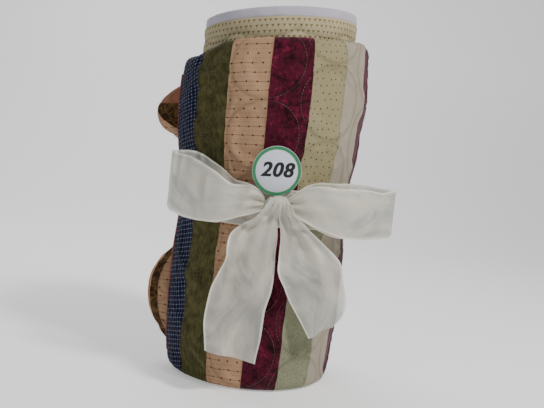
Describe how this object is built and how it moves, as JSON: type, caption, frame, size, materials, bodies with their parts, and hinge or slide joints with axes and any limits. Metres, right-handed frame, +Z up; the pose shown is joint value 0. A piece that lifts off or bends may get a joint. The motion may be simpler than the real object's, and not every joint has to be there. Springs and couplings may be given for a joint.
{
  "type": "rolled quilt",
  "caption": "Patchwork quilt folded and rolled to stand on end, cinched with a sheer ribbon tied in a bow over a round paper tag.",
  "frame": {"origin": "where the roll stands, on the floor plane near the middle of its flat lower end", "axes": "+Z up along the roll, -Y towards the viewer in front of the bow, +X to that viewer's right"},
  "size_m": [0.3193, 0.2558, 0.5071],
  "materials": {
    "navy_check": "matte woven cotton",
    "olive_cotton": "matte woven cotton",
    "tan_print": "matte woven cotton",
    "burgundy_mottle": "matte woven cotton",
    "green_dots": "matte woven cotton",
    "green_speckle": "matte woven cotton",
    "cream_cotton": "matte woven cotton",
    "brown_print": "matte woven cotton",
    "peach_print": "matte woven cotton",
    "backing_print": "matte woven cotton",
    "binding_pale": "matte cotton binding",
    "binding_rose": "matte cotton binding",
    "organza": "sheer ribbon with satin edges",
    "tag_white": "smooth coated card",
    "tag_green": "printed ring"
  },
  "bodies": {
    "roll": {"outer_turn_ridge": "backing_print", "backing_leaf": "backing_print", "inner_turns": "backing_print", "centre_fold": "backing_print", "leaf_binding": "binding_pale", "free_end_binding": "binding_rose", "strip_navy": "navy_check", "strip_olive": "olive_cotton", "strip_tan": "tan_print", "strip_burgundy": "burgundy_mottle", "strip_green_dots": "green_dots", "strip_green_speckle": "green_speckle", "strip_cream": "cream_cotton", "strip_wine_side": "burgundy_mottle", "strip_navy_back": "navy_check", "strip_olive_back": "olive_cotton", "strip_tan_back": "tan_print", "strip_burgundy_back": "burgundy_mottle", "strip_green_back": "green_dots", "strip_cream_back": "cream_cotton", "strip_brown_back": "brown_print", "fold_waist": "peach_print", "fold_low_peach": "peach_print", "fold_low_brown": "brown_print", "fold_low_tan": "tan_print", "fold_high_tan": "tan_print", "fold_high_brown": "brown_print", "fold_high_pink": "peach_print", "ribbon_band": "organza", "ribbon_knot": "organza"},
    "loop_left": {"bow_loop_left": "organza"},
    "loop_right": {"bow_loop_right": "organza"},
    "tail_left": {"ribbon_tail_left": "organza"},
    "tail_right": {"ribbon_tail_right": "organza"},
    "tag": {"tag_disc": "tag_white", "tag_ring": "tag_green"}
  },
  "joints": [
    {"name": "loop_left_tilt", "type": "hinge", "parent": "roll", "child": "loop_left", "pos_m": [-0.004, -0.1287, 0.243], "axis": [0, 1, 0], "range_deg": [-8, 12], "stiffness_Nm_per_rad": 0.03},
    {"name": "loop_right_tilt", "type": "hinge", "parent": "roll", "child": "loop_right", "pos_m": [-0.004, -0.1287, 0.243], "axis": [0, -1, 0], "range_deg": [-6, 12], "stiffness_Nm_per_rad": 0.03},
    {"name": "tail_left_lift", "type": "hinge", "parent": "roll", "child": "tail_left", "pos_m": [-0.004, -0.1287, 0.243], "axis": [-1, 0, 0], "range_deg": [0, 70]},
    {"name": "tail_right_lift", "type": "hinge", "parent": "roll", "child": "tail_right", "pos_m": [-0.004, -0.1287, 0.243], "axis": [-1, 0, 0], "range_deg": [0, 70]},
    {"name": "tag_pull", "type": "slide", "parent": "roll", "child": "tag", "axis": [0, -0.139, 0.9903], "range_m": [0, 0.035]}
  ]
}
